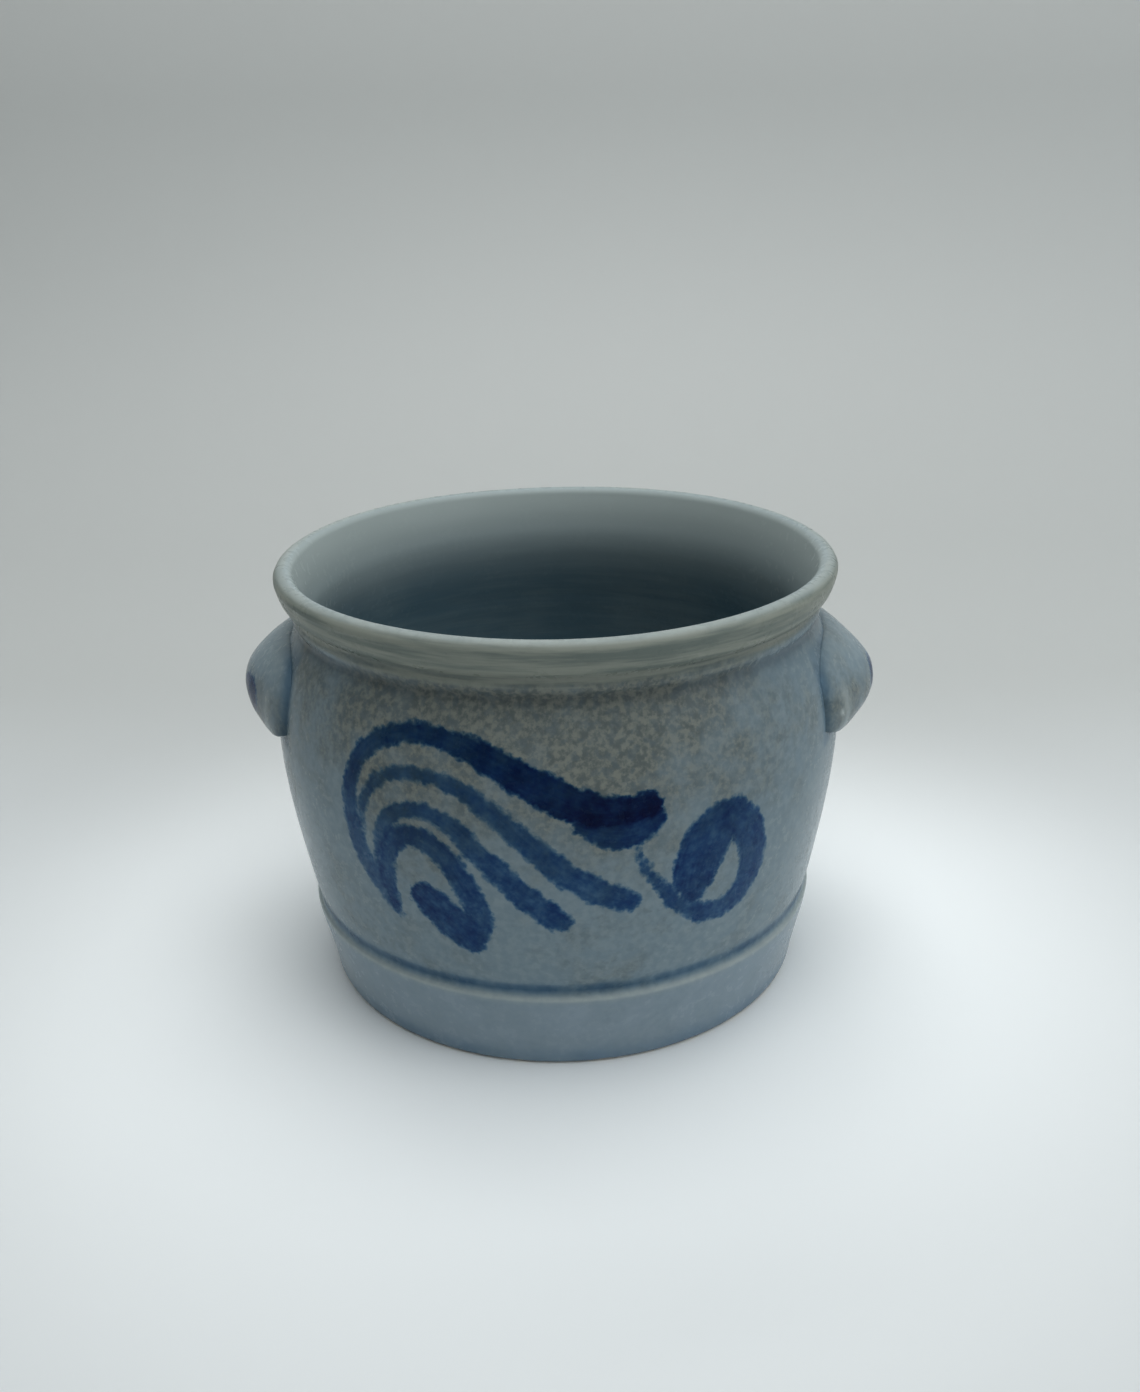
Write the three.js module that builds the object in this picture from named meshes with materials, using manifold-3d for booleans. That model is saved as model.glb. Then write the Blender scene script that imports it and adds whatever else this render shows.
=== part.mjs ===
// A small salt-glazed stoneware crock with two lug handles and a pair of half-moon weight stones.
// Millimetres, +Z up. The origin is the centre of the foot, on the surface the crock stands on.
// The painted front faces -Y and the lug handles stand out along -X and +X.
import * as THREE from "three";
import { mergeVertices } from "three/addons/utils/BufferGeometryUtils.js";
import Module from "manifold-3d";

const wasm = await Module();
wasm.setup();

// Driving dimensions.
const CROCK_HEIGHT = 117;
const RIM_RADIUS = 75;
const BELLY_RADIUS = 77.2;
const NECK_RADIUS = 69.9;
const FOOT_RADIUS = 67.2;
const LIP_ROUND = 2.7;
const FLOOR_THICKNESS = 7;
const FOOT_RECESS = 1.5;
const TURNING_STEPS = 64;
const CLEARANCE = 0.3;

const LUG_TOP = 97;
const LUG_BOTTOM = 74;
const LUG_STAND_OFF = 11;
const LUG_HALF_ANGLE = THREE.MathUtils.degToRad(26);
const LUG_EDGE = 1;
const HOLLOW_WIDTH = 36;
const HOLLOW_DEPTH = 6.2;
const HOLLOW_TOP = 84;

const STONE_RADIUS = 54;
const STONE_THICKNESS = 18;
const STONE_SPLIT = 2;
const STONE_NOTCH_RADIUS = 9;
const STONE_ROUND = 1.6;

// Heights where the turned wall changes shape.
const FOOT_BAND_TOP = 21.6;
const GROOVE_HEIGHT = 23.6;
const BELLY_HEIGHT = 69;
const NECK_HEIGHT = 101.6;
const LIP_UNDERSIDE = 107.4;

const glaze = new THREE.MeshStandardMaterial({ color: 0x7c898c, roughness: 0.3, metalness: 0 });
const stone = new THREE.MeshStandardMaterial({ color: 0x9a958a, roughness: 0.7, metalness: 0 });

function points(...pairs) {
  return pairs.map(([radius, height]) => new THREE.Vector2(radius, height));
}

function smooth(pairs, steps) {
  return new THREE.SplineCurve(points(...pairs)).getPoints(steps);
}

function arc(centreRadius, centreHeight, radius, fromDegrees, toDegrees, steps) {
  const from = THREE.MathUtils.degToRad(fromDegrees);
  const to = THREE.MathUtils.degToRad(toDegrees);
  const clockwise = to < from;
  return new THREE.EllipseCurve(centreRadius, centreHeight, radius, radius, from, to, clockwise)
    .getPoints(steps);
}

// The outside of the wall, from the groove above the foot band up to the neck.
const WALL = smooth(
  [
    [FOOT_RADIUS + 3.2, GROOVE_HEIGHT],
    [FOOT_RADIUS + 4.6, 27.5],
    [73.5, 39],
    [76, 54],
    [BELLY_RADIUS, BELLY_HEIGHT],
    [75.9, 84],
    [73.2, 94.5],
    [NECK_RADIUS, NECK_HEIGHT],
  ],
  14,
);

// The wall's outer radius at a height between the groove and the neck.
function wallRadius(height) {
  const above = WALL.findIndex((point) => point.y >= height);
  const high = WALL[Math.max(above, 1)];
  const low = WALL[Math.max(above, 1) - 1];
  return THREE.MathUtils.mapLinear(height, low.y, high.y, low.x, high.x);
}

// Underside, foot band and groove, wall, neck bead, rolled lip, then down the inside to the floor.
function crockProfile() {
  const underside = points(
    [0, FOOT_RECESS],
    [FOOT_RADIUS - 15, FOOT_RECESS],
    [FOOT_RADIUS - 13, 0],
    [FOOT_RADIUS - 0.8, 0],
  );
  const footBand = points(
    [FOOT_RADIUS, 0.8],
    [FOOT_RADIUS + 1.2, 5],
    [FOOT_RADIUS + 2.7, 12],
    [FOOT_RADIUS + 4.3, FOOT_BAND_TOP - 0.8],
    [FOOT_RADIUS + 4.1, FOOT_BAND_TOP],
  );
  const neckBead = points(
    [NECK_RADIUS + 1.4, NECK_HEIGHT + 2.9],
    [NECK_RADIUS + 0.8, LIP_UNDERSIDE - 0.4],
    [NECK_RADIUS + 3.5, LIP_UNDERSIDE + 1],
  );
  const lip = arc(
    RIM_RADIUS - LIP_ROUND, CROCK_HEIGHT - LIP_ROUND, LIP_ROUND, -10, 195, 7,
  );
  const inside = smooth(
    [
      [68.2, 110],
      [NECK_RADIUS - 3.6, NECK_HEIGHT],
      [67.4, 91],
      [BELLY_RADIUS - 6.2, BELLY_HEIGHT],
      [69.3, 45],
      [66.2, 25],
    ],
    12,
  );
  const floorCorner = arc(54, FLOOR_THICKNESS + 10, 10, -10, -90, 4);
  return [
    ...underside, ...footBand, ...WALL, ...neckBead, ...lip, ...inside, ...floorCorner,
    new THREE.Vector2(0, FLOOR_THICKNESS),
  ];
}

function turned(profile) {
  return new THREE.LatheGeometry(profile, TURNING_STEPS).rotateX(Math.PI / 2);
}

// Distance off the wall and height, up the middle of the lug from its lip to its top.
const LUG_SECTION = new THREE.SplineCurve(
  points(
    [LUG_STAND_OFF * 0.62, LUG_BOTTOM],
    [LUG_STAND_OFF * 0.9, LUG_BOTTOM + 1.6],
    [LUG_STAND_OFF, 78.5],
    [LUG_STAND_OFF * 0.96, 84],
    [LUG_STAND_OFF * 0.76, 88],
    [LUG_STAND_OFF * 0.45, 92],
    [LUG_EDGE, LUG_TOP],
  ),
);

// One point of the lug: across runs -1 to 1 round the wall, up runs 0 to 1 from lip to top.
function lugPoint(across, up, outer) {
  const TOP_CORNER_ROUNDING = 0.4;
  const TAPER = 1.25;
  const angle = LUG_HALF_ANGLE * across * Math.sqrt(1 - TOP_CORNER_ROUNDING * up ** 4);
  const section = LUG_SECTION.getPoint(up);
  const fade = 1 - Math.abs(across) ** TAPER;
  const standOff = outer ? LUG_EDGE + (section.x - LUG_EDGE) * fade : CLEARANCE;
  const radius = wallRadius(section.y) + standOff;
  return [radius * Math.cos(angle), radius * Math.sin(angle), section.y];
}

// The lug's closed shell: an outer and an inner sheet, joined round their edge.
function lugShell() {
  const ACROSS = 18;
  const UP = 12;
  const position = [];
  for (const outer of [true, false])
    for (let j = 0; j <= UP; j++)
      for (let i = 0; i <= ACROSS; i++)
        position.push(...lugPoint((2 * i) / ACROSS - 1, j / UP, outer));
  const at = (i, j, outer) => (outer ? 0 : (ACROSS + 1) * (UP + 1)) + j * (ACROSS + 1) + i;
  const index = [];
  const quad = (a, b, c, d) => index.push(a, b, c, a, c, d);
  for (let j = 0; j < UP; j++)
    for (let i = 0; i < ACROSS; i++) {
      quad(at(i, j, true), at(i + 1, j, true), at(i + 1, j + 1, true), at(i, j + 1, true));
      quad(at(i, j, false), at(i, j + 1, false), at(i + 1, j + 1, false), at(i + 1, j, false));
    }
  for (let i = 0; i < ACROSS; i++) {
    quad(at(i, 0, false), at(i + 1, 0, false), at(i + 1, 0, true), at(i, 0, true));
    quad(at(i, UP, true), at(i + 1, UP, true), at(i + 1, UP, false), at(i, UP, false));
  }
  for (let j = 0; j < UP; j++) {
    quad(at(0, j, true), at(0, j + 1, true), at(0, j + 1, false), at(0, j, false));
    quad(at(ACROSS, j, false), at(ACROSS, j + 1, false), at(ACROSS, j + 1, true), at(ACROSS, j, true));
  }
  const shell = new THREE.BufferGeometry();
  shell.setAttribute("position", new THREE.Float32BufferAttribute(position, 3));
  shell.setIndex(index);
  return shell;
}

// The hollow under the lug that the fingertips hook into.
function fingerHollow() {
  return new THREE.SphereGeometry(1, 18, 12)
    .scale(HOLLOW_DEPTH / 2, HOLLOW_WIDTH / 2, HOLLOW_TOP - LUG_BOTTOM)
    .translate(BELLY_RADIUS + HOLLOW_DEPTH / 2, 0, LUG_BOTTOM);
}

function asSolid(geometry) {
  const bare = geometry.clone().deleteAttribute("normal").deleteAttribute("uv");
  const merged = mergeVertices(bare, 1e-4);
  return new wasm.Manifold(
    new wasm.Mesh({
      numProp: 3,
      vertProperties: merged.attributes.position.array,
      triVerts: new Uint32Array(merged.index.array),
    }),
  );
}

function asGeometry(solid) {
  const { vertProperties, triVerts, numProp } = solid.getMesh();
  const geometry = new THREE.BufferGeometry();
  const vertices = new THREE.InterleavedBuffer(vertProperties, numProp);
  geometry.setAttribute("position", new THREE.InterleavedBufferAttribute(vertices, 3, 0));
  geometry.setIndex(new THREE.BufferAttribute(triVerts, 1));
  const flat = geometry.toNonIndexed();
  flat.computeVertexNormals();
  return flat;
}

// A half-moon slab with a half-round notch in its straight side and rounded edges.
function halfMoon() {
  const edge = STONE_SPLIT / 2 + STONE_ROUND;
  const outer = STONE_RADIUS - STONE_ROUND;
  const notch = STONE_NOTCH_RADIUS + STONE_ROUND;
  const outerAngle = Math.acos(edge / outer);
  const notchAngle = Math.acos(edge / notch);
  const outline = new THREE.Shape();
  outline.absarc(0, 0, outer, -outerAngle, outerAngle, false);
  outline.absarc(0, 0, notch, notchAngle, -notchAngle, true);
  outline.closePath();
  return new THREE.ExtrudeGeometry(outline, {
    depth: STONE_THICKNESS - 2 * STONE_ROUND,
    curveSegments: 16,
    bevelSize: STONE_ROUND,
    bevelThickness: STONE_ROUND,
    bevelSegments: 2,
  }).translate(0, 0, FLOOR_THICKNESS + CLEARANCE + STONE_ROUND);
}

function named(name, geometry, material) {
  const mesh = new THREE.Mesh(geometry, material);
  mesh.name = name;
  return mesh;
}

const crock = new THREE.Group();
crock.add(named("crock_body", turned(crockProfile()), glaze));

const lug = asGeometry(asSolid(lugShell()).subtract(asSolid(fingerHollow())));
const slab = halfMoon();
for (const [side, turn] of [["right", 0], ["left", Math.PI]]) {
  const handle = named(`lug_handle_${side}`, lug, glaze);
  const weight = named(`weight_stone_${side}`, slab, stone);
  handle.rotation.z = turn;
  weight.rotation.z = turn;
  crock.add(handle, weight);
}

export default crock;
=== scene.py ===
"""A small salt-glazed stoneware crock: thrown pot, two luted lugs and two half-moon weight stones.

Shapes are worked out in millimetres and built in metres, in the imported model's frame: +Z up,
the foot's centre at the origin, the painted front towards -Y and the lugs along -X and +X.
"""
import math

import bpy
import numpy as np
from mathutils import Matrix, Vector


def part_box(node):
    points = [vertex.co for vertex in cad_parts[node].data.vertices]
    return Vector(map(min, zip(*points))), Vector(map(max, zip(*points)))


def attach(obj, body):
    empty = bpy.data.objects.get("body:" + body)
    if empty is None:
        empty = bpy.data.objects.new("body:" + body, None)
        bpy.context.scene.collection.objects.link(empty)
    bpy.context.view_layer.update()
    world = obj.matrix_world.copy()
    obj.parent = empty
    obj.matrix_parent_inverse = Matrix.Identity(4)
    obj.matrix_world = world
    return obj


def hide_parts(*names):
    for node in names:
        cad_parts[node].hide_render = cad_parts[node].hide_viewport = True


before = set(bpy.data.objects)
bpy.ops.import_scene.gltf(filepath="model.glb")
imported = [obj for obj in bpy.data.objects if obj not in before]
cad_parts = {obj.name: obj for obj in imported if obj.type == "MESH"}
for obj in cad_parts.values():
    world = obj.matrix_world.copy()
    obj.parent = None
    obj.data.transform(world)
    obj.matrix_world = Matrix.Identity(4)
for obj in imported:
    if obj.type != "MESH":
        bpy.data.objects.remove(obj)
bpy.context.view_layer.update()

MM = 0.001

# ---------------------------------------------------------------- sizes taken from the frame
CROCK_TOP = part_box("crock_body")[1]
HEIGHT = CROCK_TOP.z / MM
BELLY = CROCK_TOP.x / MM
LUG_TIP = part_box("lug_handle_right")[1].x / MM
STONE_BOX = [Vector(corner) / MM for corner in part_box("weight_stone_right")]

# ---------------------------------------------------------------- driving dimensions, in mm
RIM = 75.0
LIP_ROUND = 2.6
NECK_HEIGHT = 101.4
FLOOR_TOP = 7.0
FOOT_INNER = 53.0
FOOT_RECESS = 1.5
GROOVE_HEIGHT = 24.6
ARRIS_HEIGHT = 21.4
LUG_HALF_ANGLE = math.radians(26)
LUG_LOW = 74.2
LUG_HIGH = 96.8
NOTCH = 9.0
COLUMNS = 360


# ---------------------------------------------------------------- curves
def smoothstep(low, high, value):
    t = np.clip((value - low) / (high - low), 0, 1)
    return t * t * (3 - 2 * t)


def bell(value, centre, spread):
    return np.exp(-(((value - centre) / spread) ** 2))


def spline(points, spacing):
    """Points about spacing apart along a smooth curve through the given ones."""
    given = np.array(points, float)
    chord = np.sqrt(np.linalg.norm(np.diff(given, axis=0)[:, :2], axis=1))
    knots = np.concatenate([[0], np.cumsum(chord)])
    slopes = np.gradient(given, knots, axis=0)
    fine = np.linspace(0, knots[-1], 40 * len(given))
    span = np.clip(np.searchsorted(knots, fine, "right") - 1, 0, len(knots) - 2)
    width = (knots[span + 1] - knots[span])[:, None]
    t = (fine[:, None] - knots[span][:, None]) / width
    start, end = given[span], given[span + 1]
    leave, arrive = slopes[span] * width, slopes[span + 1] * width
    curve = (
        (2 * t**3 - 3 * t**2 + 1) * start
        + (t**3 - 2 * t**2 + t) * leave
        + (3 * t**2 - 2 * t**3) * end
        + (t**3 - t**2) * arrive
    )
    return even(curve, spacing)


def even(curve, spacing):
    """The same curve with its points spread evenly, about spacing apart."""
    steps = np.linalg.norm(np.diff(curve, axis=0)[:, :2], axis=1)
    length = np.concatenate([[0], np.cumsum(steps)])
    count = max(2, round(length[-1] / spacing) + 1)
    at = np.linspace(0, length[-1], count)
    return np.stack([np.interp(at, length, curve[:, k]) for k in range(curve.shape[1])], -1)


def line(points, spacing):
    return np.concatenate(
        [even(np.array(pair, float), spacing)[:-1] for pair in zip(points, points[1:])]
        + [np.array(points[-1:], float)]
    )


def arc(centre, radius, start, end, spacing):
    turns = np.radians(np.linspace(start, end, 40))
    curve = np.stack([centre[0] + radius * np.cos(turns), centre[1] + radius * np.sin(turns)], -1)
    return even(curve, spacing)


def joined(*stretches):
    """One outline from stretches that meet end to end."""
    outline = [stretches[0]]
    for stretch in stretches[1:]:
        touching = np.linalg.norm(stretch[0] - outline[-1][-1]) < 0.05
        outline.append(stretch[1:] if touching else stretch)
    return np.concatenate(outline)


# ---------------------------------------------------------------- mesh making
def make_piece(name, points, faces, material):
    mesh = bpy.data.meshes.new(name)
    mesh.from_pydata((np.asarray(points) * MM).tolist(), [], faces)
    mesh.polygons.foreach_set("use_smooth", [True] * len(mesh.polygons))
    mesh.materials.append(material)
    mesh.update()
    piece = bpy.data.objects.new(name, mesh)
    bpy.context.scene.collection.objects.link(piece)
    return piece


def set_vectors(piece, name, *columns):
    """Stores three numbers for each vertex, for the material to read."""
    attribute = piece.data.attributes.new(name, "FLOAT_VECTOR", "POINT")
    values = np.stack([np.broadcast_to(c, len(piece.data.vertices)) for c in columns], -1)
    attribute.data.foreach_set("vector", values.astype(np.float32).ravel())


def tube_faces(rows, columns, wrap=True):
    """Quads over a grid of rows by columns, joined round the columns when wrap is set."""
    row = np.arange(rows - 1)[:, None] * columns
    here = np.arange(columns if wrap else columns - 1)[None, :]
    beside = (here + 1) % columns
    quads = np.stack([row + here, row + beside, row + columns + beside, row + columns + here], -1)
    return quads.reshape(-1, 4).tolist()


# ---------------------------------------------------------------- the thrown pot
def outside_wall():
    return spline(
        [
            (70.5, 23.2),
            (70.6, 24.4),
            (71, 26.2),
            (71.7, 28.8),
            (73.4, 38),
            (75.2, 49),
            (76.5, 59.5),
            (BELLY - 0.05, 69.5),
            (76.8, 79),
            (75.5, 87),
            (73.2, 94.5),
            (70.9, 99.2),
            (69.9, NECK_HEIGHT),
        ],
        1.08,
    )


WALL = outside_wall()


def wall_radius(height):
    return np.interp(height, WALL[:, 1], WALL[:, 0])


def pot_outline():
    """Radius and height from the middle of the underside, up the outside and down the inside."""
    underside = joined(
        line([(3, FOOT_RECESS), (FOOT_INNER - FOOT_RECESS, FOOT_RECESS)], 5),
        arc((FOOT_INNER, FOOT_RECESS), FOOT_RECESS, 180, 270, 0.8),
        line([(FOOT_INNER, 0), (66.2, 0)], 3),
    )
    foot_band = spline(
        [
            (66.2, 0),
            (66.9, 0.3),
            (67.3, 1.2),
            (67.9, 4.2),
            (69, 9.4),
            (70.3, 15.4),
            (71.2, 19.6),
            (71.4, ARRIS_HEIGHT - 0.5),
        ],
        0.95,
    )
    arris = spline(
        [
            (71.4, ARRIS_HEIGHT - 0.5),
            (71.45, ARRIS_HEIGHT),
            (71.3, ARRIS_HEIGHT + 0.5),
            (70.75, 22.5),
            (70.5, 23.2),
        ],
        0.3,
    )
    neck = spline(
        [
            (69.9, NECK_HEIGHT),
            (70.3, 102.4),
            (71, 103.6),
            (71.3, 104.8),
            (71.15, 106.1),
            (71.3, 107),
            (72.1, 107.9),
            (73.2, 109),
            (74.1, 110.9),
            (RIM - 0.06, 113.9),
        ],
        0.5,
    )
    crest = arc((RIM - LIP_ROUND, HEIGHT - LIP_ROUND), LIP_ROUND, -8, 165, 0.5)
    inside = spline(
        [
            (RIM - 5.11, HEIGHT - 1.93),
            (69.1, 112.9),
            (68.3, 110.4),
            (67.2, 106),
            (66.5, 101.4),
            (66.7, 96.5),
            (67.7, 90),
            (69.4, 81),
            (70.6, 70),
            (70.4, 58),
            (69.1, 45),
            (67.3, 32),
            (65.6, 22),
            (63.6, 15),
            (60.4, 10.4),
            (55, 7.7),
            (47, FLOOR_TOP),
        ],
        1.6,
    )
    floor = line([(47, FLOOR_TOP), (2.5, FLOOR_TOP)], 3.4)
    return joined(underside, foot_band, arris, WALL, neck, crest, inside, floor)


def slow_wave(angle, height, *terms):
    """A smooth unevenness between -1 and 1: each term is turns round, waves up, phase."""
    total = sum(np.sin(n * angle + height / up + phase) for n, up, phase in terms)
    return total / len(terms)


def hand_thrown(radius, height, angle, inside):
    """The small unevenness of a pot thrown by hand. It only takes material away outside."""
    loose = smoothstep(30, HEIGHT, height)
    oval = 0.28 * loose * (1 + np.cos(2 * angle + 0.7)) / 2
    uneven = 0.16 * (1 + slow_wave(angle, height, (3, 31, 0.4), (5, 17, 2.1), (7, 23, 4)))
    above_foot = smoothstep(1, 8, height)
    rings = 0.035 * np.sin(2 * math.pi * height / 6.4 + angle)
    streaks = 0.05 * np.sin(height * 5.1 + 0.8 * np.sin(angle * 2)) * smoothstep(107, 109, height)
    moved = radius - above_foot * (oval + uneven) + streaks * (1 - inside)
    moved = moved + inside * rings * smoothstep(12, 24, height) * (1 - smoothstep(104, 112, height))
    tilt = 0.3 * (1 - np.cos(angle - 2.4)) + 0.14 * (1 + np.sin(4 * angle + 1.3))
    return moved, height - tilt * smoothstep(94, HEIGHT, height)


# ---------------------------------------------------------------- the cobalt brushwork
# Each stroke: degrees round from the front, height, width; then load at its start and end.
PLUME_OUTER = (
    [(-32.5, 42, 1.8), (-35, 47.5, 5), (-38.5, 54, 6), (-41, 64, 6), (-41.3, 74, 4.6),
     (-39, 83, 4.6), (-33.5, 89.6, 4.8), (-26, 92.2, 4.6), (-19, 91.2, 5.4), (-12, 87.8, 6.8),
     (-4.5, 82.6, 8), (2.5, 77.8, 8.6), (9, 75.6, 7.4), (15, 76.3, 7)],
    (0.52, 1.6),
)
PLUME_SECOND = (
    [(-39, 60, 1.4), (-38, 72, 2.6), (-34, 79.8, 3.6), (-28, 82.8, 3.4), (-20.5, 82, 3.8),
     (-14, 77.8, 4.8), (-7, 69.6, 5.8), (0, 60.6, 6.6), (6.5, 54.4, 6.8), (12, 51, 5.6)],
    (0.55, 0.8),
)
PLUME_THIRD = (
    [(-36, 50, 2), (-35, 61, 4), (-32, 70.4, 4.4), (-25.5, 74.1, 3.8), (-19.5, 71.2, 5),
     (-13.5, 63.2, 5.8), (-7, 53.8, 6.8), (-0.8, 46.6, 6.2)],
    (0.55, 0.85),
)
PLUME_INNER = (
    [(-33.4, 43.5, 3), (-34.3, 51, 5.4), (-33.6, 60, 5.6), (-30, 66, 5.8), (-25, 66.4, 5.8),
     (-20.5, 61.6, 6.2), (-17.4, 54, 6.6), (-15.4, 46, 6.4), (-16.4, 40.5, 6.4)],
    (0.72, 0.8),
)
LEAF = ([(-26, 49.6, 8.8), (-23, 46, 10.4), (-19.6, 42, 10.2), (-17.4, 38.4, 6.6)], (0.95, 0.75))
HEEL = ([(3.6, 73, 4.6), (8, 71, 8.6), (12.5, 70.6, 8.8), (16, 73, 6.4)], (1.1, 1.3))
CURL = (
    [(13, 66, 1.8), (15.2, 58.8, 2.6), (18.6, 52.4, 3.2), (22.6, 46.8, 4.6), (28, 42.7, 6),
     (33.6, 43.4, 6.6), (37.2, 49, 7.6), (37.6, 57, 8.4), (35.4, 64, 9.4), (32.8, 67.8, 9)],
    (0.75, 0.78),
)
CURL_HEAD = (
    [(32, 69, 9.4), (28.6, 66.8, 12.6), (26, 61.4, 13.8), (24.9, 55.6, 11.6), (24.6, 50.4, 7)],
    (0.75, 1.0),
)

BRUSH_LAYERS = (
    (PLUME_OUTER, PLUME_THIRD, LEAF, CURL),
    (PLUME_SECOND, PLUME_INNER, HEEL, CURL_HEAD),
)
# The depth given to points well clear of every stroke, and how far all strokes are turned.
BRUSH_CLEAR = -6.0
BRUSH_TURN = 2.0
BRUSH_STEP = 0.8


def brush_layer(strokes, across_mm, height):
    """Depth inside the nearest stroke, distance along it, place across it, and its load."""
    depth = np.full(len(height), BRUSH_CLEAR)
    along, across, load = np.zeros_like(depth), np.zeros_like(depth), np.zeros_like(depth)
    for number, (points, loads) in enumerate(strokes):
        placed = [(math.radians(turn + BRUSH_TURN) * RIM, up, width) for turn, up, width in points]
        path = spline(placed, BRUSH_STEP)
        length = np.arange(len(path)) * BRUSH_STEP
        heading = np.gradient(path[:, :2], axis=0)
        heading /= np.linalg.norm(heading, axis=1)[:, None]
        near = (across_mm > path[:, 0].min() - 9) & (across_mm < path[:, 0].max() + 9)
        near = np.flatnonzero(near & (depth < 20))
        offset = np.stack([across_mm[near], height[near]], -1)[:, None, :] - path[None, :, :2]
        inside = path[None, :, 2] / 2 - np.linalg.norm(offset, axis=2)
        deepest, best = inside.max(1), inside.argmax(1)
        pick = np.arange(len(near))
        side = heading[best, 0] * offset[pick, best, 1] - heading[best, 1] * offset[pick, best, 0]
        better = deepest > depth[near]
        chosen, best = near[better], best[better]
        depth[chosen] = deepest[better]
        along[chosen] = length[best] + 90 * number
        across[chosen] = side[better]
        load[chosen] = loads[0] + (loads[1] - loads[0]) * (best / (len(path) - 1)) ** 1.3
    return np.maximum(depth, BRUSH_CLEAR), along, across, load


def paint_brushwork(piece, turn, height, shown):
    across_mm = turn * RIM
    for number, strokes in enumerate(BRUSH_LAYERS, start=1):
        depth, along, across, load = brush_layer(strokes, across_mm, height)
        depth = np.where(shown, depth, BRUSH_CLEAR)
        set_vectors(piece, f"brush_{number}", depth, along, across)
        set_vectors(piece, f"load_{number}", load, 0.0, 0.0)


# ---------------------------------------------------------------- node graphs
class Graph:
    """One material's nodes. Each method adds a node and gives back its output."""

    def __init__(self, name):
        self.material = bpy.data.materials.new(name)
        self.material.use_nodes = True
        self.tree = self.material.node_tree
        self.tree.nodes.clear()
        self.surface = self.tree.nodes.new("ShaderNodeBsdfPrincipled")
        output = self.tree.nodes.new("ShaderNodeOutputMaterial")
        self.tree.links.new(self.surface.outputs["BSDF"], output.inputs["Surface"])

    def put(self, value, socket):
        if isinstance(value, bpy.types.NodeSocket):
            self.tree.links.new(value, socket)
        elif isinstance(value, (tuple, list)) and socket.type == "RGBA":
            socket.default_value = (*value, 1.0)[:4]
        else:
            socket.default_value = value

    def node(self, kind, inputs=(), **settings):
        made = self.tree.nodes.new(kind)
        for key, value in settings.items():
            setattr(made, key, value)
        for key, value in dict(inputs).items():
            self.put(value, made.inputs[key])
        return made

    def math(self, operation, first, second=0.0, clamp=False):
        inputs = {0: first, 1: second}
        return self.node("ShaderNodeMath", inputs, operation=operation, use_clamp=clamp).outputs[0]

    def add(self, *values):
        total = values[0]
        for value in values[1:]:
            total = self.math("ADD", total, value)
        return total

    def times(self, *values):
        total = values[0]
        for value in values[1:]:
            total = self.math("MULTIPLY", total, value)
        return total

    def ramp(self, value, low, high, to_low=0.0, to_high=1.0):
        inputs = {"Value": value, "From Min": low, "From Max": high}
        inputs |= {"To Min": to_low, "To Max": to_high}
        kind = "ShaderNodeMapRange"
        return self.node(kind, inputs, interpolation_type="SMOOTHSTEP").outputs["Result"]

    def mix(self, factor, first, second):
        made = self.node("ShaderNodeMix", data_type="RGBA", blend_type="MIX")
        self.put(factor, made.inputs[0])
        self.put(first, made.inputs[6])
        self.put(second, made.inputs[7])
        return made.outputs[2]

    def scaled(self, vector, by):
        inputs = {0: vector, 1: by}
        return self.node("ShaderNodeVectorMath", inputs, operation="MULTIPLY").outputs[0]

    def place(self):
        """Position on the piece, in millimetres."""
        position = self.node("ShaderNodeTexCoord").outputs["Object"]
        return self.scaled(position, (1 / MM,) * 3)

    def noise(self, vector, size, detail=2.0, roughness=0.5, distortion=0.0):
        inputs = {"Vector": vector, "Scale": 1 / size, "Detail": detail}
        inputs |= {"Roughness": roughness, "Distortion": distortion}
        return self.node("ShaderNodeTexNoise", inputs).outputs[0]

    def cells(self, vector, size, smoothness=0.6):
        inputs = {"Vector": vector, "Scale": 1 / size, "Smoothness": smoothness}
        return self.node("ShaderNodeTexVoronoi", inputs, feature="SMOOTH_F1").outputs["Distance"]

    def stored(self, name):
        vector = self.node("ShaderNodeAttribute", attribute_name=name).outputs["Vector"]
        return self.node("ShaderNodeSeparateXYZ", {0: vector}).outputs

    def joined(self, x, y, z):
        return self.node("ShaderNodeCombineXYZ", {0: x, 1: y, 2: z}).outputs[0]

    def bump(self, height, depth, below=None):
        inputs = {"Height": height, "Distance": depth * MM, "Strength": 1.0}
        if below is not None:
            inputs["Normal"] = below
        return self.node("ShaderNodeBump", inputs).outputs["Normal"]


# ---------------------------------------------------------------- salt glaze
BLUE_GREY = ((0.172, 0.232, 0.27), (0.208, 0.268, 0.3))
DARK_SPOT = (0.1, 0.13, 0.145)
OLIVE_BROWN = ((0.107, 0.126, 0.124), (0.196, 0.21, 0.187))
LIP_OLIVE = ((0.145, 0.172, 0.157), (0.242, 0.262, 0.228))
INNER_GREY = ((0.07, 0.127, 0.165), (0.1, 0.158, 0.19))
# Painted light: the inside is painted towards this paler grey near the rim.
FLARE_PAINTED_LIGHT_GREY = (0.33, 0.38, 0.375)
# Painted light: the foot band is painted towards this paler grey.
FOOT_PAINTED_LIGHT_GREY = (0.242, 0.305, 0.358)
# Pale thin glaze, also the colour of painted highlights, a painted glint and a painted reflection.
THIN_GLAZE_AND_PAINTED_LIGHT = (0.36, 0.41, 0.41)
BARE_CLAY = ((0.3, 0.26, 0.2), (0.42, 0.38, 0.31))
COBALT_ABSORBS = (3.3, 2.0, 0.93)
POOL_ABSORBS = (1.7, 1.15, 0.7)


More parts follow.
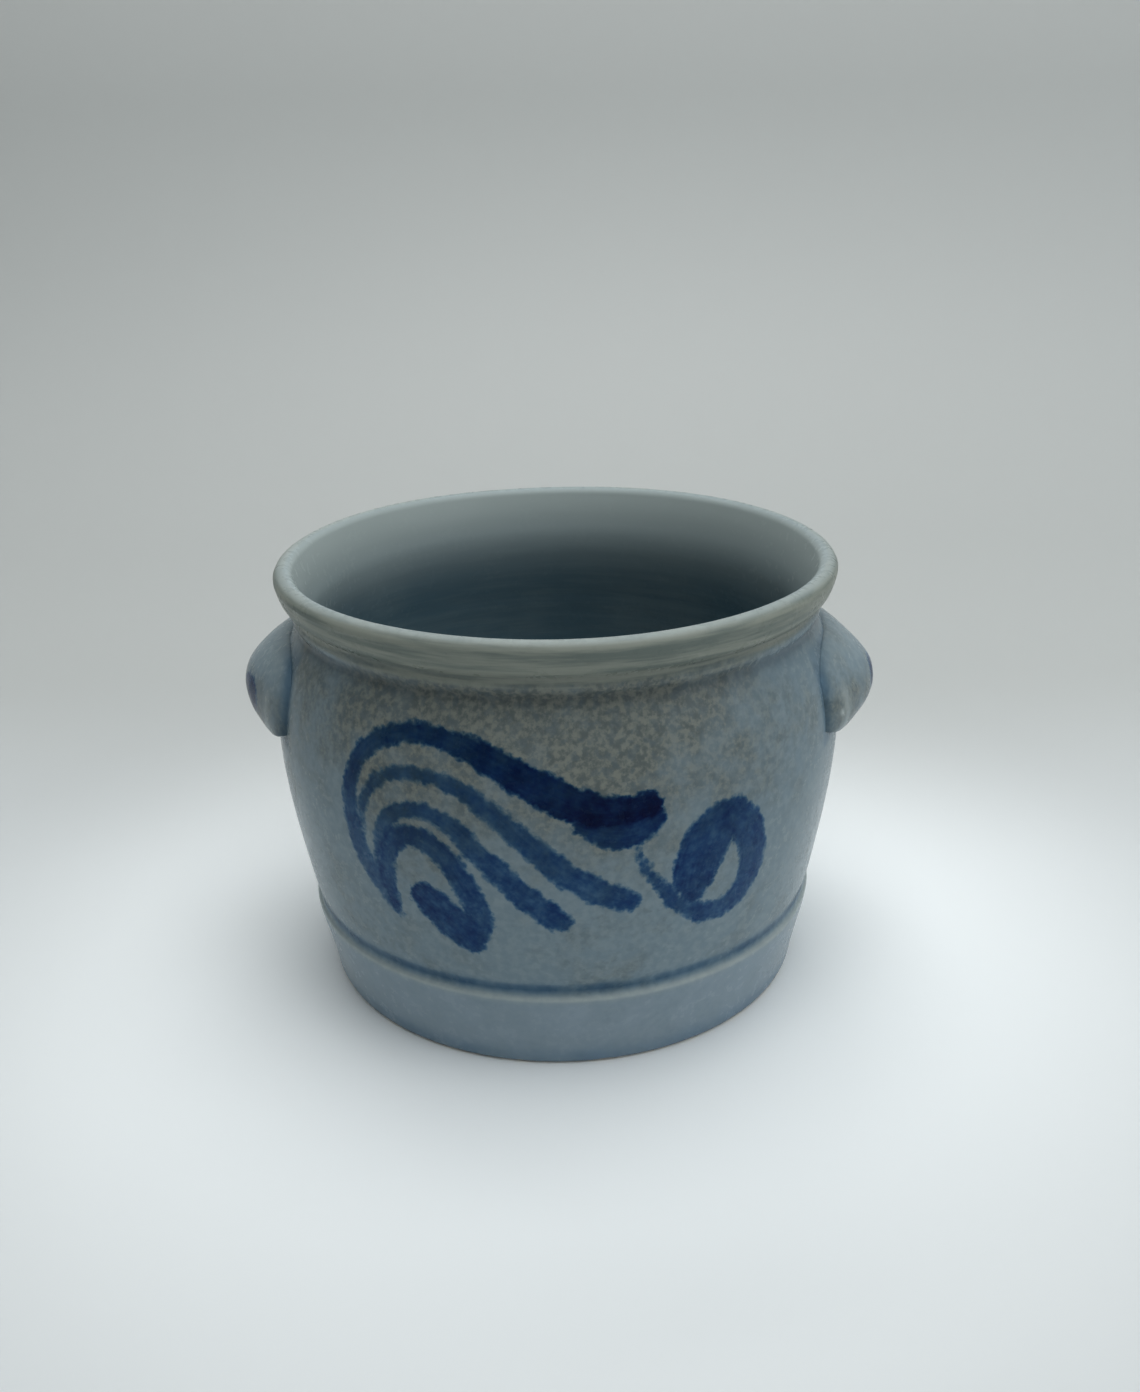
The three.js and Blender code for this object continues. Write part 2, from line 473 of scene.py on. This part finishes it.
def stroke_density(g, number, place):
    """How much cobalt one layer of brushwork lays down at a point."""
    depth, along, across = g.stored(f"brush_{number}")[:3]
    load = g.stored(f"load_{number}")[0]
    ragged = g.add(
        depth,
        g.ramp(g.noise(place, 1.5, 2), 0.3, 0.7, -0.38, 0.38),
        g.ramp(g.noise(place, 4, 1), 0.3, 0.7, -0.3, 0.3),
    )
    cover = g.ramp(ragged, -0.75, 0.85)
    bristles = g.joined(g.times(along, 0.09), g.times(across, 1.25), float(number))
    streak = g.ramp(g.noise(bristles, 1.0, 2, 0.5), 0.3, 0.7, 0.93, 1.07)
    patch = g.ramp(g.noise(place, 5.5, 3, 0.6), 0.32, 0.68, 0.78, 1.15)
    curdle = g.ramp(g.noise(place, 1.7, 3, 0.6), 0.3, 0.7, 0.8, 1.15)
    return g.times(cover, load, streak, patch, curdle)


def absorbed(g, colour, amount, absorbs):
    """Colour seen through an amount of pigment that absorbs each channel so strongly."""
    passed = [g.math("EXPONENT", g.times(amount, -strength)) for strength in absorbs]
    return g.scaled(colour, g.joined(*passed))


def outside_ground(g, place, peel, blotch, cloud):
    """Blue-grey with dark spots, brown and olive where the salt hit hardest, and painted light: paler
    at the foot, for light thrown up and reflected by the pale floor.
    """
    brown = g.stored("ground")[0]
    foot = g.stored("tone")[2]
    speckle = g.noise(place, 1.7, 3, 0.6)
    spots = g.ramp(g.noise(place, 2.3, 2, 0.5), 0.5, 0.62)
    ground = g.mix(g.ramp(peel, 0.32, 0.68), *BLUE_GREY)
    ground = g.mix(g.times(spots, g.ramp(cloud, 0.4, 0.7, 0.05, 0.3)), ground, DARK_SPOT)
    earthy = g.mix(g.ramp(speckle, 0.36, 0.64), *OLIVE_BROWN)
    earthy = g.mix(g.times(spots, 0.5), earthy, DARK_SPOT)
    browned = g.add(brown, g.ramp(blotch, 0.3, 0.7, -0.2, 0.2), g.ramp(cloud, 0.3, 0.7, -0.2, 0.2))
    ground = g.mix(g.ramp(browned, 0.0, 1.1), ground, earthy)
    return g.mix(g.times(foot, g.ramp(blotch, 0.3, 0.7, 0.5, 0.95)), ground, FOOT_PAINTED_LIGHT_GREY)


def inside_ground(g, turning, cloud):
    """Darker and bluer, with faint turning lines, and painted light: paler towards the flare of the
    rim, where more light falls in.
    """
    flare = g.stored("tone")[1]
    ringed = g.add(g.times(turning, 0.5), g.times(cloud, 0.5))
    inner = g.mix(g.ramp(ringed, 0.34, 0.66), *INNER_GREY)
    return g.mix(flare, inner, FLARE_PAINTED_LIGHT_GREY)


def brushed_cobalt(g, place):
    """Cobalt over both layers of brushwork. A second stroke over a first adds little."""
    first, second = stroke_density(g, 1, place), stroke_density(g, 2, place)
    overlap = g.times(g.math("MINIMUM", first, second), 0.25)
    return g.add(g.math("MAXIMUM", first, second), overlap)


def salt_glaze():
    g = Graph("salt_glaze")
    place = g.place()
    pool, thin_glaze_and_painted_light, inside = g.stored("glaze")[:3]
    bare, lip = g.stored("ground")[1:3]
    shade = g.stored("tone")[0]
    peel = g.noise(place, 2.1, 2, 0.55)
    blotch = g.noise(place, 7.5, 3, 0.6)
    cloud = g.noise(place, 26, 2)
    turning = g.noise(g.scaled(place, (0.12, 0.12, 1.6)), 3.2, 3, 0.6)

    outer = outside_ground(g, place, peel, blotch, cloud)
    ground = g.mix(inside, outer, inside_ground(g, turning, cloud))
    rim = g.mix(g.ramp(turning, 0.36, 0.64), *LIP_OLIVE)
    rim_edge = g.add(lip, g.ramp(turning, 0.3, 0.7, -0.16, 0.16))
    ground = g.mix(g.ramp(rim_edge, 0.2, 0.8), ground, rim)
    # Pale where the glaze runs thin, and the same pale colour for painted highlights, a painted glint
    # and a painted reflection.
    ground = g.mix(g.times(thin_glaze_and_painted_light, g.ramp(peel, 0.3, 0.7, 0.8, 1.0)), ground, THIN_GLAZE_AND_PAINTED_LIGHT)
    pooled = g.times(pool, g.ramp(g.noise(place, 9, 2), 0.3, 0.7, 0.6, 1.25))
    ground = absorbed(g, ground, pooled, POOL_ABSORBS)
    ground = absorbed(g, ground, shade, (1, 1, 0.95))
    glazed = absorbed(g, ground, brushed_cobalt(g, place), COBALT_ABSORBS)

    clay = g.mix(g.ramp(g.noise(place, 1.6, 4, 0.65), 0.35, 0.65), *BARE_CLAY)
    uncovered = g.ramp(g.add(bare, g.ramp(blotch, 0.3, 0.7, -0.25, 0.25)), 0.35, 0.65)
    g.put(g.mix(uncovered, glazed, clay), g.surface.inputs["Base Color"])

    shine = g.add(g.ramp(peel, 0.3, 0.7, 0.17, 0.27), g.ramp(blotch, 0.3, 0.7, -0.03, 0.05))
    g.put(g.add(shine, g.times(lip, 0.08), g.times(uncovered, 0.5)), g.surface.inputs["Roughness"])
    g.put(0.07, g.surface.inputs["Specular IOR Level"])
    dimple = g.times(peel, g.ramp(g.add(uncovered, lip, inside), 0, 1, 1, 0.1))
    ridges = g.times(turning, g.add(lip, g.times(inside, 0.3)))
    g.put(g.bump(ridges, 0.05, g.bump(dimple, 0.035)), g.surface.inputs["Normal"])
    return g.material


def bare_stoneware():
    g = Graph("bare_stoneware")
    place = g.place()
    grain = g.noise(place, 0.9, 3, 0.7)
    cloud = g.noise(place, 14, 3, 0.6)
    speck = g.ramp(g.cells(place, 2.6, 0.1), 0.05, 0.16, 1.0, 0.0)
    rare = g.ramp(g.noise(place, 4.2, 1), 0.55, 0.66)
    clay = g.mix(g.ramp(grain, 0.3, 0.7), (0.33, 0.3, 0.25), (0.46, 0.43, 0.36))
    clay = g.mix(g.ramp(cloud, 0.42, 0.7), clay, (0.37, 0.31, 0.235))
    clay = g.mix(g.times(speck, rare, 0.8), clay, (0.09, 0.06, 0.045))
    g.put(clay, g.surface.inputs["Base Color"])
    g.put(g.ramp(grain, 0.3, 0.7, 0.62, 0.82), g.surface.inputs["Roughness"])
    normal = g.bump(grain, 0.12)
    g.put(g.bump(g.noise(place, 6, 2), 0.25, normal), g.surface.inputs["Normal"])
    return g.material


# ---------------------------------------------------------------- pieces
def lug_outline_gap(turn, height):
    """Rough distance in mm from a point on the wall to the nearest lug's outline."""
    sideways = np.abs(np.abs(turn) - math.pi / 2) * RIM
    out_x = sideways - LUG_HALF_ANGLE * RIM
    out_z = np.abs(height - (LUG_LOW + LUG_HIGH) / 2) - (LUG_HIGH - LUG_LOW) / 2
    outside = np.hypot(np.maximum(out_x, 0), np.maximum(out_z, 0))
    return outside + np.minimum(np.maximum(out_x, out_z), 0)


def crock_body(material):
    outline = pot_outline()
    turns = np.arange(COLUMNS) * 2 * math.pi / COLUMNS
    crest = outline[:, 1].argmax()
    is_inside = smoothstep(-3, 5, np.arange(len(outline)) - crest)
    radius = np.repeat(outline[:, 0], COLUMNS)
    height = np.repeat(outline[:, 1], COLUMNS)
    inside = np.repeat(is_inside, COLUMNS)
    angle = np.tile(turns, len(outline))
    moved, lifted = hand_thrown(radius, height, angle, inside)
    grid = np.stack([moved * np.sin(angle), -moved * np.cos(angle), lifted], -1)
    points = np.concatenate([grid, [(0, 0, outline[0, 1]), (0, 0, outline[-1, 1])]])
    faces = tube_faces(len(outline), COLUMNS)
    last = (len(outline) - 1) * COLUMNS
    under, floor = len(grid), len(grid) + 1
    for i in range(COLUMNS):
        j = (i + 1) % COLUMNS
        faces.append([under, j, i])
        faces.append([floor, last + i, last + j])
    body = make_piece("crock_body_glazed", points, faces, material)

    middles = np.zeros(2)
    turn = np.where(angle > math.pi, angle - 2 * math.pi, angle)
    paint_crock(
        body,
        np.concatenate([turn, middles]),
        np.concatenate([radius, middles]),
        np.concatenate([height, [FOOT_RECESS, FLOOR_TOP]]),
        np.concatenate([inside, [0, 1]]),
    )
    return body


def paint_crock(body, turn, radius, height, inside):
    """Where the glaze pools, thins, browns or is bare, by place on the pot, and where light and shade
    are painted into its colour.
    """
    outside = 1 - inside
    groove = 0.8 * bell(height, GROOVE_HEIGHT, 1.35)
    crease = 0.28 * bell(np.maximum(lug_outline_gap(turn, height), 0), 0, 1.2)
    # Darker towards the bottom edge of the foot.
    darker_foot_base = 0.22 * bell(height, 1.5, 3)
    inner_floor = 0.5 * inside * (1 - smoothstep(8, 26, height))
    pool = outside * (groove + crease + darker_foot_base) + inner_floor
    # Painted reflection: the flanks are painted paler low down, for the pale floor mirrored in the
    # glaze.
    painted_flank_reflection = 0.17 * smoothstep(0.75, 1.25, abs(turn)) * smoothstep(82, 62, height)
    # Pale along the foot's arris and the crest of the rim, where the glaze runs thin, with a painted
    # highlight along both.
    thin_glaze_and_painted_light = outside * (0.9 * bell(height, ARRIS_HEIGHT + 0.5, 0.8) + painted_flank_reflection)
    thin_glaze_and_painted_light = thin_glaze_and_painted_light + 0.7 * bell(height, HEIGHT, 0.7)
    set_vectors(body, "glaze", pool, thin_glaze_and_painted_light, inside)

    from_middle = np.degrees(abs(turn - math.radians(BRUSH_TURN - 4)))
    shoulder = 0.85 * smoothstep(44, 88, height) * (1 - smoothstep(14, 68, from_middle))
    behind = 0.36 * smoothstep(2.1, 2.9, abs(turn)) * smoothstep(30, 70, height)
    left_flank = 0.55 * bell(np.degrees(turn), -64, 20) * smoothstep(48, 78, height)
    brown = outside * (np.maximum(np.maximum(shoulder, behind), left_flank) + 0.1)
    worn_edge = (1 - smoothstep(0, 0.7, height)) * outside * (radius > 0)
    bare = np.maximum(worn_edge, outside * (radius < 66.3) * (height < 2))
    lip = smoothstep(101.5, 109, height) * outside
    set_vectors(body, "ground", brown, bare, lip)

    shade = outside * (0.4 * bell(height, NECK_HEIGHT, 1.6) + 0.2 * bell(height, 107, 1.3))
    # Painted light: the inside is painted paler up towards the rim, where more light falls in.
    flare = inside * smoothstep(84, 117, height)
    # Painted light: the foot band is painted paler for light thrown up and reflected by the pale
    # floor.
    foot = outside * smoothstep(23, 20, height)
    set_vectors(body, "tone", shade, flare, foot)
    paint_brushwork(body, turn, height, (inside < 0.5) & (height > 26) & (height < 100))


# Half a lug seen from above: share of its full stand-off at shares of its half angle.
LUG_PLAN = spline(
    [(0, 1), (0.15, 0.93), (0.35, 0.76), (0.52, 0.58), (0.68, 0.43), (0.8, 0.33), (0.88, 0.25),
     (0.95, 0.12), (1, -0.03), (1.03, -0.08)],
    0.02,
)
LUG_STEPS = 132
LUG_REACH = LUG_TIP - 76.75
LUG_END = 1.03
LUG_HOLLOW_END = 0.66
IN_WALL = -0.9
# How far towards the front each lug's cobalt dab sits, as a share of the lug's half length.
LUG_DAB = {"left": 0.38, "right": 0.06}
# How much higher in mm the middle of each lug is than the section below.
LUG_LIFT = {"left": 1.2, "right": 0.0}
LUG_SHADE = {"left": 0.14, "right": 0.0}


def lug_section():
    """Stand-off from the wall and height, from the top round the lip and up into the hollow."""
    return spline(
        [(IN_WALL, LUG_HIGH - 0.3), (0.6, LUG_HIGH), (2.3, 96), (4.3, 94.2), (6.2, 91.9), (8.7, 88.4),
         (10.4, 84.8), (LUG_REACH, 81.6), (10.5, 79), (9.6, 76.9), (8.1, 75.2),
         (6.6, LUG_LOW), (5.5, 75), (5.1, 77.4), (4.7, 80), (3.7, 82.4), (1.9, 83.4), (0.2, 82.8),
         (IN_WALL, 81.6)],
        0.62,
    )


def lug_slice(share, section, side):
    """The section as it is at a share of the lug's half angle: x, y, z and stand-off."""
    size = np.interp(abs(share), LUG_PLAN[:, 0], LUG_PLAN[:, 1])
    rounding = max(0, 1 - abs(share / 1.05) ** 6) ** 0.4
    top = LUG_HIGH - 20 * (1 - rounding)
    bottom = LUG_LOW + 2.6 * abs(share) ** 6
    off, up = section[:, 0].copy(), section[:, 1].copy()
    within = np.arange(len(section)) > up.argmin()
    hollow = math.sqrt(max(0, 1 - (share / LUG_HOLLOW_END) ** 2))
    up[within] = LUG_LOW + 0.25 + (up[within] - LUG_LOW) * hollow
    up = bottom + (up - LUG_LOW) * (top - bottom) / (LUG_HIGH - LUG_LOW)
    up = up + LUG_LIFT[side] * smoothstep(74.5, 80, up) * (1 - smoothstep(91, 97, up))
    off = np.where(off > 0, off * size, off) if size > 0 else np.full_like(off, IN_WALL)
    radius = wall_radius(up) - 0.16 + off
    turn = share * LUG_HALF_ANGLE
    return np.stack([radius * np.cos(turn), radius * np.sin(turn), up, off], -1)


def lug_handle(side, material):
    section = lug_section()
    share = np.linspace(-LUG_END, LUG_END, LUG_STEPS)
    points = np.concatenate([lug_slice(s, section, side) for s in share])
    around = len(section)
    faces = tube_faces(LUG_STEPS, around)
    last = (LUG_STEPS - 1) * around
    faces.append(list(range(around)))
    faces.append(list(range(last + around - 1, last - 1, -1)))
    mirror = -1 if side == "left" else 1
    turned = points[:, :3] * (mirror, mirror, 1)
    lug = make_piece(f"lug_handle_{side}_glazed", turned, faces, material)
    paint_lug(lug, side, np.repeat(share, around), points[:, 3], points[:, 2])
    return lug


def paint_lug(lug, side, share, off, up):
    """The glaze on a lug, by share of its half angle, stand-off and height, with painted highlights
    and painted shade.
    """
    along = share * math.degrees(LUG_HALF_ANGLE) * 1.4
    front = along if side == "left" else -along
    crease = smoothstep(2.2, 0.2, off) * smoothstep(0.5, 0.9, abs(share))
    # A painted highlight down the ridge, where the glaze also runs thin over the edge; paler towards
    # the top.
    ridge = bell(abs(share), 0.76, 0.06) * smoothstep(89, 84, up)
    pale_top = smoothstep(86, 94, up)
    # A painted glint: a small white spot on the right lug.
    painted_glint = bell(np.hypot(front - 30.5, up - 80.5), 0, 0.9) * (side == "right")
    set_vectors(lug, "glaze", 0.4 * crease, 0.6 * ridge + 0.15 * pale_top + painted_glint, 0.0)
    olive = smoothstep(91, 82, up) * (0.6 + 0.4 * smoothstep(0.1, 0.5, abs(share)))
    set_vectors(lug, "ground", 0.1 + 0.55 * olive, 0.0, 0.0)
    set_vectors(lug, "tone", LUG_SHADE[side] * smoothstep(92, 84, up), 0.0, 0.0)
    from_dab = np.hypot((front - 36 * LUG_DAB[side]) / 6.8, (up - 81.6) / 4.8)
    dab = np.where(off > 4, 4 * (1 - from_dab), BRUSH_CLEAR)
    set_vectors(lug, "brush_1", np.maximum(dab, BRUSH_CLEAR), up, along)
    set_vectors(lug, "load_1", 0.95, 0.0, 0.0)
    set_vectors(lug, "brush_2", BRUSH_CLEAR, 0.0, 0.0)
    set_vectors(lug, "load_2", 0.0, 0.0, 0.0)


def stone_outline():
    """The right stone's edge seen from above: a half disc less a half-round finger notch."""
    split, outer = STONE_BOX[0].x, STONE_BOX[1].x
    side = math.degrees(math.acos(split / outer))
    bite = math.degrees(math.acos(split / NOTCH))
    rim = arc((0, 0), outer, -side, side, 1.2)
    notch = arc((0, 0), NOTCH, bite, -bite, 1.2)
    return joined(rim, line([rim[-1], notch[0]], 1.2), notch, line([notch[-1], rim[0]], 1.2))[:-1]


def sharp_slab(name, material):
    """The right stone as plain faces, with sharp edges."""
    low, high = STONE_BOX
    outline = stone_outline()
    count = len(outline)
    points = [(x, y, z) for z in (low.z, high.z) for x, y in outline]
    faces = tube_faces(2, count)
    faces.append(list(range(count - 1, -1, -1)))
    faces.append(list(range(count, 2 * count)))
    return make_piece(name, points, faces, material)


def wear(stone):
    """Remeshes a slab fine and smooths it, which rounds its edges."""
    remesh = stone.modifiers.new("fine", "REMESH")
    remesh.mode = "VOXEL"
    remesh.voxel_size = 0.9 * MM
    remesh.use_smooth_shade = True
    smooth = stone.modifiers.new("worn_edges", "SMOOTH")
    smooth.factor = 0.5
    smooth.iterations = 14
    bpy.context.view_layer.update()
    shaped = stone.evaluated_get(bpy.context.evaluated_depsgraph_get())
    fine = bpy.data.meshes.new_from_object(shaped)
    stone.modifiers.clear()
    stone.data = fine


def weight_stone(side, material):
    """A half-moon slab with worn edges and a top pressed by hand. The left one is turned round."""
    stone = sharp_slab(f"weight_stone_{side}_clay", material)
    wear(stone)
    fine = stone.data
    co = np.zeros(len(fine.vertices) * 3)
    fine.vertices.foreach_get("co", co)
    x, y, z = (co.reshape(-1, 3) / MM).T
    phase = 0.0 if side == "right" else 2.0
    dip = 0.22 * (1 + np.sin(x / 9 + phase) * np.sin(y / 11 + 1 + phase))
    dip = dip + 0.1 * (1 + np.sin(x / 3.1 + y / 4.3 + phase))
    middle = (STONE_BOX[0].z + STONE_BOX[1].z) / 2
    z = z - np.where(z > middle, dip, 0)
    mirror = -1 if side == "left" else 1
    moved = np.stack([x * mirror, y * mirror, z], -1) * MM
    fine.vertices.foreach_set("co", moved.ravel())
    fine.update()
    return stone


# ---------------------------------------------------------------- stage, lights and camera
def sweep(material):
    """A pale floor that curves up into a plain backdrop: flat behind the crock, round elsewhere."""
    back, around, bend, low, top = 700, 1700, 260, -0.2, 1300
    outline = joined(
        line([(10, low), (back - bend, low)], 60),
        arc((back - bend, bend + low), bend, -90, 0, 20),
        line([(back, bend + low), (back, top)], 260),
    )
    sectors = 180
    turns = np.arange(sectors) * 2 * math.pi / sectors
    to_back = back / np.maximum(np.sin(turns), 0.01)
    reach = (to_back**-8.0 + float(around) ** -8) ** (-1 / 8)
    radius = outline[:, :1] + (reach - back) * smoothstep(300, back, outline[:, :1])
    height = np.broadcast_to(outline[:, 1:], radius.shape)
    rows = np.stack([radius * np.cos(turns), radius * np.sin(turns), height], -1)
    points = np.concatenate([rows.reshape(-1, 3), [(0, 0, low)]])
    faces = tube_faces(len(outline), sectors)
    middle = len(points) - 1
    for i in range(sectors):
        faces.append([middle, i, (i + 1) % sectors])
    make_piece("floor_sweep", points, faces, material)


def floor_material():
    g = Graph("floor_paint")
    place = g.place()
    parts = g.node("ShaderNodeSeparateXYZ", {0: place}).outputs
    away = g.node("ShaderNodeVectorMath", {0: place}, operation="LENGTH").outputs["Value"]
    # A painted pool of light: the floor is painted paler close to the crock and darker further out.
    floor = g.mix(g.ramp(away, 80, 230), (0.89, 0.92, 0.93), (0.61, 0.633, 0.64))
    backdrop = g.mix(g.ramp(parts[2], 60, 460), (0.48, 0.495, 0.487), (0.54, 0.552, 0.543))
    wall = g.math("MAXIMUM", g.ramp(parts[1], 20, 220), g.ramp(parts[2], 0, 200))
    g.put(g.mix(wall, floor, backdrop), g.surface.inputs["Base Color"])
    g.put(0.6, g.surface.inputs["Roughness"])
    return g.material


def area_light(name, place, aim, size, watts, colour=(1, 1, 1)):
    data = bpy.data.lights.new(name, "AREA")
    data.shape = "RECTANGLE"
    data.size, data.size_y = size
    data.energy = watts
    data.color = colour
    light = bpy.data.objects.new(name, data)
    light.location = place
    light.rotation_mode = "QUATERNION"
    light.rotation_quaternion = (Vector(aim) - Vector(place)).to_track_quat("-Z", "Y")
    bpy.context.scene.collection.objects.link(light)


def room_light(colour, level, overhead):
    """Light from the room itself: dim at eye level, brighter towards the ceiling."""
    world = bpy.data.worlds.new("room")
    world.use_nodes = True
    tree = world.node_tree
    background = tree.nodes["Background"]
    background.inputs["Color"].default_value = (*colour, 1)
    direction = tree.nodes.new("ShaderNodeTexCoord").outputs["Generated"]
    parts = tree.nodes.new("ShaderNodeSeparateXYZ")
    climb = tree.nodes.new("ShaderNodeMapRange")
    climb.inputs["From Min"].default_value = 0.1
    climb.inputs["From Max"].default_value = 0.8
    climb.inputs["To Min"].default_value = level
    climb.inputs["To Max"].default_value = overhead
    tree.links.new(direction, parts.inputs[0])
    tree.links.new(parts.outputs[2], climb.inputs["Value"])
    tree.links.new(climb.outputs["Result"], background.inputs["Strength"])
    bpy.context.scene.world = world


def camera():
    """Looks slightly down at the painted front from about arm's length."""
    away, above = 0.3416, 0.2125
    swing = math.radians(BRUSH_TURN)
    pitch, yaw, roll = math.radians(22.12), math.radians(0.54) - swing, math.radians(-1.08)
    level = Vector((math.sin(yaw), math.cos(yaw), 0))
    ahead = level * math.cos(pitch) - Vector((0, 0, math.sin(pitch)))
    right = Vector((math.cos(yaw), -math.sin(yaw), 0))
    up = right.cross(ahead)
    level_right = right * math.cos(roll) + up * math.sin(roll)
    level_up = up * math.cos(roll) - right * math.sin(roll)
    data = bpy.data.cameras.new("camera")
    data.sensor_width = 36
    data.lens = 33.92
    data.clip_start, data.clip_end = 0.01, 20
    made = bpy.data.objects.new("camera", data)
    place = (away * math.sin(swing), -away * math.cos(swing), above)
    turned = Matrix((level_right, level_up, -ahead)).transposed().to_4x4()
    made.matrix_world = Matrix.Translation(place) @ turned
    bpy.context.scene.collection.objects.link(made)
    bpy.context.scene.camera = made


def place_piece(piece, node, body):
    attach(piece, body)
    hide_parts(node)


camera()
sweep(floor_material())
room_light((0.88, 0.93, 0.95), 0.2, 0.42)
area_light("overhead", (0.1, 0.0, 1.4), (0, 0, 0), (1.0, 1.0), 11, (0.98, 1, 1))
area_light("window", (1.3, -0.6, 0.9), (0, 0, 0.06), (1.4, 1.2), 7.5, (0.95, 0.98, 1))
area_light("high_back", (-0.15, 0.55, 0.95), (0, 0, 0.1), (0.7, 0.12), 1.2)

glaze = salt_glaze()
clay = bare_stoneware()
place_piece(crock_body(glaze), "crock_body", "crock")
for side in ("left", "right"):
    place_piece(lug_handle(side, glaze), f"lug_handle_{side}", "crock")
    place_piece(weight_stone(side, clay), f"weight_stone_{side}", f"stone_{side}")

bpy.context.scene.view_settings.view_transform = "Standard"
